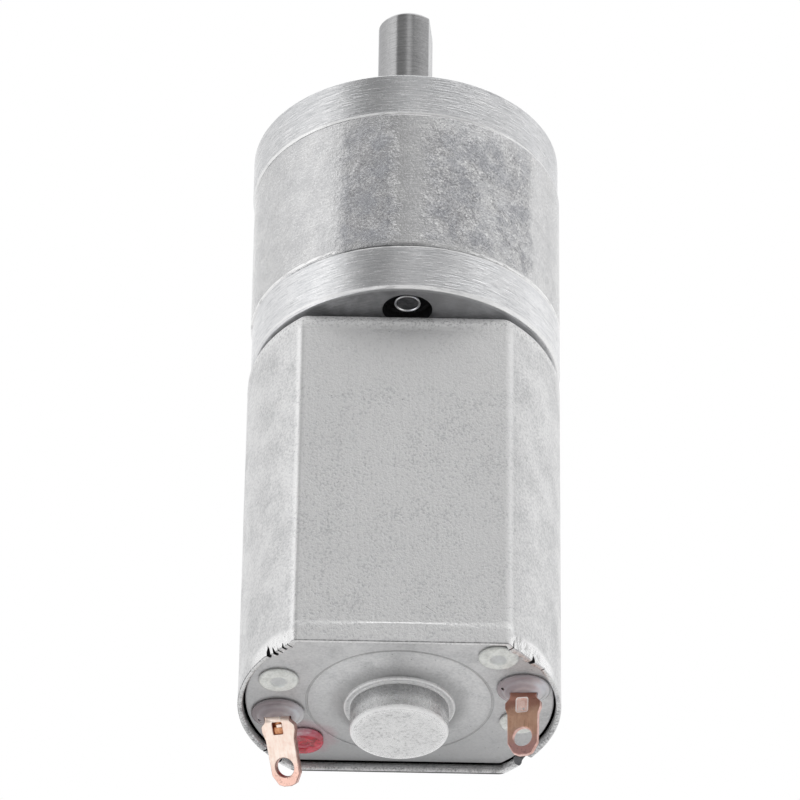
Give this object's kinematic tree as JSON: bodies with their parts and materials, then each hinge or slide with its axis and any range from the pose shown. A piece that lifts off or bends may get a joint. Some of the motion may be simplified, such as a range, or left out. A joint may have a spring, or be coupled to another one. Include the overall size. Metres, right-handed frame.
{
  "type": "geared dc motor",
  "caption": "Small brushed dc motor with flat-sided can and two-stage planetary gearbox; D-cut output shaft on the axis, tapped front face, two solder terminals at the rear.",
  "frame": {"origin": "centre of the gearbox's front mounting face, on the output shaft's axis", "axes": "+Z out along the output shaft, -Y out of one of the motor can's two flat sides, +X across the motor through the terminals"},
  "size_m": [0.02, 0.02, 0.0578],
  "materials": {
    "turned_steel": "turned steel with fine scratches running round it, nickel plated",
    "sintered_steel": "pressed and sintered steel, mottled grey with fine pits",
    "ground_steel": "ground bright steel",
    "screw_steel": "zinc plated steel",
    "plated_can": "deep-drawn sheet steel, satin nickel plate",
    "plated_plate": "pressed sheet steel, satin nickel plate, a little duller than the can",
    "bronze": "oil-filled sintered bronze",
    "magnet": "dark ferrite, matt",
    "nylon": "natural nylon, slightly translucent",
    "red_mark": "glossy red lacquer dot",
    "terminal_copper": "bare copper alloy strip, tarnished in places",
    "brush_carbon": "carbon, matt black",
    "laminations": "stacked electrical steel sheets",
    "insulation": "dark fibre and moulded plastic",
    "copper_wire": "enamelled copper wire",
    "commutator_copper": "bright copper"
  },
  "bodies": {
    "housing": {"front_cap": "turned_steel", "output_bush": "bronze", "output_thrust_washer": "ground_steel", "ring_gear": "sintered_steel", "gearbox_rear_plate": "turned_steel", "gearbox_screws": "screw_steel", "motor_screws": "screw_steel", "thrust_plate": "ground_steel", "motor_can": "plated_can", "end_plate": "plated_plate", "front_bush": "bronze", "rear_bush": "bronze", "magnet_left": "magnet", "magnet_right": "magnet", "magnet_spring": "screw_steel", "brush_holder": "nylon", "polarity_mark": "red_mark", "terminal_left": "terminal_copper", "terminal_right": "terminal_copper", "brush_arm_left": "terminal_copper", "brush_arm_right": "terminal_copper", "brush_left": "brush_carbon", "brush_right": "brush_carbon"},
    "rotor": {"motor_shaft": "ground_steel", "motor_pinion": "bronze", "rotor_core": "laminations", "rotor_insulation": "insulation", "winding_1": "copper_wire", "winding_2": "copper_wire", "winding_3": "copper_wire", "commutator_hub": "insulation", "commutator_segments": "commutator_copper", "commutator_ring": "magnet", "rotor_spacer": "nylon", "front_washers": "bronze", "rear_washers": "bronze"},
    "first_stage": {"first_carrier": "sintered_steel", "first_planet_pins": "ground_steel", "second_sun_gear": "sintered_steel"},
    "output": {"output_shaft": "ground_steel", "output_carrier": "sintered_steel", "output_planet_pins": "ground_steel", "retaining_clip": "screw_steel"},
    "output_planet_1": {"output_planet_1": "sintered_steel"},
    "output_planet_2": {"output_planet_2": "sintered_steel"},
    "output_planet_3": {"output_planet_3": "sintered_steel"},
    "first_planet_1": {"first_planet_1": "sintered_steel"},
    "first_planet_2": {"first_planet_2": "sintered_steel"},
    "first_planet_3": {"first_planet_3": "sintered_steel"}
  },
  "joints": [
    {"name": "rotor_spin", "type": "hinge", "parent": "housing", "child": "rotor", "pos_m": [0, 0, 0], "axis": [0, 0, 1], "continuous": true},
    {"name": "first_stage_spin", "type": "hinge", "parent": "housing", "child": "first_stage", "pos_m": [0, 0, 0], "axis": [0, 0, 1], "continuous": true},
    {"name": "output_spin", "type": "hinge", "parent": "housing", "child": "output", "pos_m": [0, 0, 0], "axis": [0, 0, 1], "continuous": true},
    {"name": "first_planet_1_spin", "type": "hinge", "parent": "first_stage", "child": "first_planet_1", "pos_m": [0.00405, 0, 0], "axis": [0, 0, 1], "continuous": true},
    {"name": "first_planet_2_spin", "type": "hinge", "parent": "first_stage", "child": "first_planet_2", "pos_m": [-0.00202, 0.00351, 0], "axis": [0, 0, 1], "continuous": true},
    {"name": "first_planet_3_spin", "type": "hinge", "parent": "first_stage", "child": "first_planet_3", "pos_m": [-0.00202, -0.00351, 0], "axis": [0, 0, 1], "continuous": true},
    {"name": "output_planet_1_spin", "type": "hinge", "parent": "output", "child": "output_planet_1", "pos_m": [0.00405, 0, 0], "axis": [0, 0, 1], "continuous": true},
    {"name": "output_planet_2_spin", "type": "hinge", "parent": "output", "child": "output_planet_2", "pos_m": [-0.00202, 0.00351, 0], "axis": [0, 0, 1], "continuous": true},
    {"name": "output_planet_3_spin", "type": "hinge", "parent": "output", "child": "output_planet_3", "pos_m": [-0.00202, -0.00351, 0], "axis": [0, 0, 1], "continuous": true}
  ],
  "couplings": [
    {"joint": "first_stage_spin", "follows": "rotor_spin", "ratio": 0.22222},
    {"joint": "output_spin", "follows": "rotor_spin", "ratio": 0.049383},
    {"joint": "first_planet_1_spin", "follows": "rotor_spin", "ratio": -0.62222},
    {"joint": "first_planet_2_spin", "follows": "rotor_spin", "ratio": -0.62222},
    {"joint": "first_planet_3_spin", "follows": "rotor_spin", "ratio": -0.62222},
    {"joint": "output_planet_1_spin", "follows": "rotor_spin", "ratio": -0.13827},
    {"joint": "output_planet_2_spin", "follows": "rotor_spin", "ratio": -0.13827},
    {"joint": "output_planet_3_spin", "follows": "rotor_spin", "ratio": -0.13827}
  ]
}
